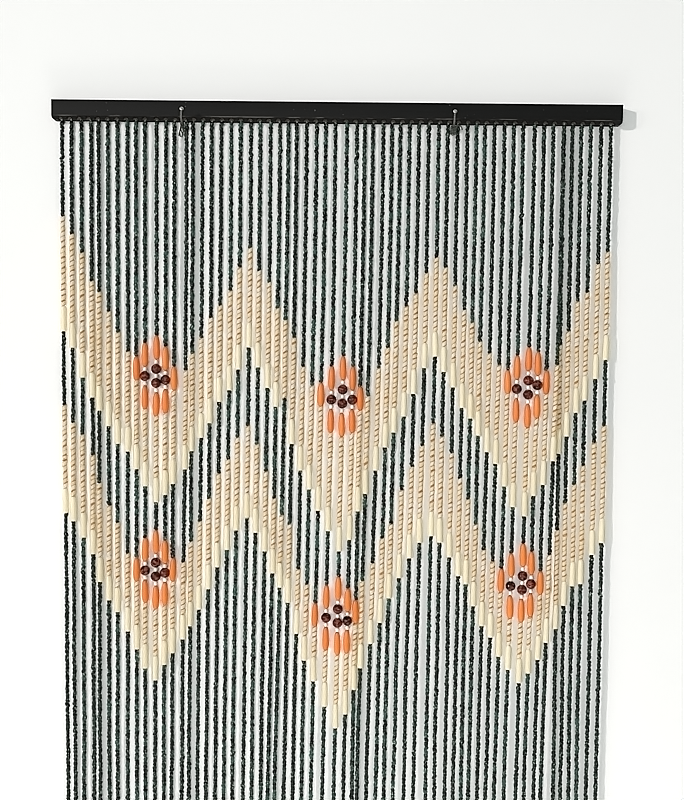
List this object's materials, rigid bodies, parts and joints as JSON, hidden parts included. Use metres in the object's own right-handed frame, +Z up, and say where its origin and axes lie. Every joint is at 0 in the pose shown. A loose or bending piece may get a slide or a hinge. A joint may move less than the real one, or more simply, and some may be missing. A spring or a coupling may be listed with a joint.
{
  "type": "bead curtain with wooden rail",
  "caption": "Bead curtain: dark green bead strands with cream zigzags and orange flowers, hanging side by side from a black wooden rail that is held flat on a wall.",
  "frame": {"origin": "middle of the rail's flat back face, which lies on the wall", "axes": "+X to the right as seen from the front, +Y into the wall, +Z up; the strands hang towards -Z"},
  "size_m": [0.85, 0.0435, 1.7541],
  "materials": {
    "rail_paint": "satin black paint, worn at the lower edge",
    "green_bead": "glossy dark green lacquer",
    "cream_bead": "semi-gloss cream with tan joints",
    "tube_bead": "satin cream",
    "orange_bead": "satin terracotta orange",
    "brown_bead": "glossy mahogany brown",
    "white_bead": "glossy white",
    "cord_thread": "waxed grey-green thread",
    "nail_steel": "bright, worn at the shank",
    "tie_thread": "matt dark grey-green thread"
  },
  "bodies": {
    "root": {"rail": "rail_paint", "strands_1": "green_bead", "strands_2": "green_bead", "strands_3": "green_bead", "nail_left": "nail_steel", "nail_right": "nail_steel", "tie_left": "tie_thread", "tie_right": "tie_thread"}
  },
  "joints": []
}
